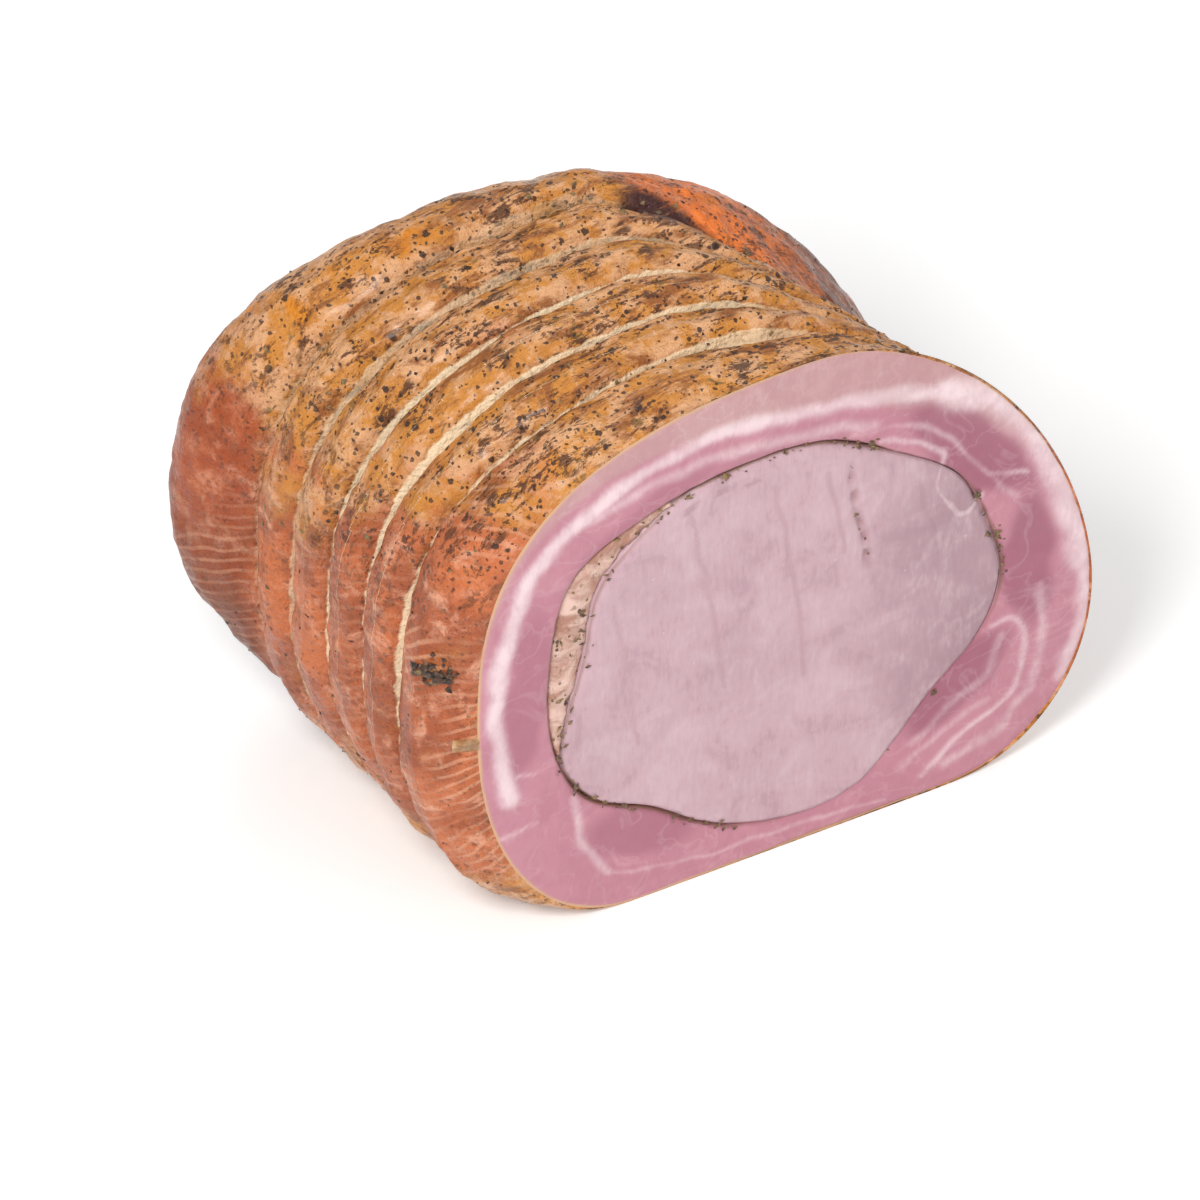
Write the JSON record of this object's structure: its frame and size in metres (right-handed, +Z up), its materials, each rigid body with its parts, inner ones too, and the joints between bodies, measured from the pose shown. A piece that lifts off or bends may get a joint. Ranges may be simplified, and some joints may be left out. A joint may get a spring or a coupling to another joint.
{
  "type": "porchetta",
  "caption": "Rolled roast pork joint with a browned, tie-marked outside and one flat cut end that shows the pale loin wrapped in belly.",
  "frame": {"origin": "on the surface that the roast rests on, under the middle of its bounding box", "axes": "+Z up; the flat cut face looks along -Y and the rounded, flared end is at +Y; +X is to the right of someone looking at the cut face"},
  "size_m": [0.2162, 0.1308, 0.171],
  "materials": {
    "roasted_belly": "moist satin, golden to red-brown with dark pepper specks",
    "cooked_loin": "moist satin, pale mauve-pink",
    "herb_fat": "soft fat and seasoning, beige with dark green-brown bits"
  },
  "bodies": {
    "root": {"belly_wrap": "roasted_belly", "loin": "cooked_loin", "herb_filling": "herb_fat"}
  },
  "joints": []
}
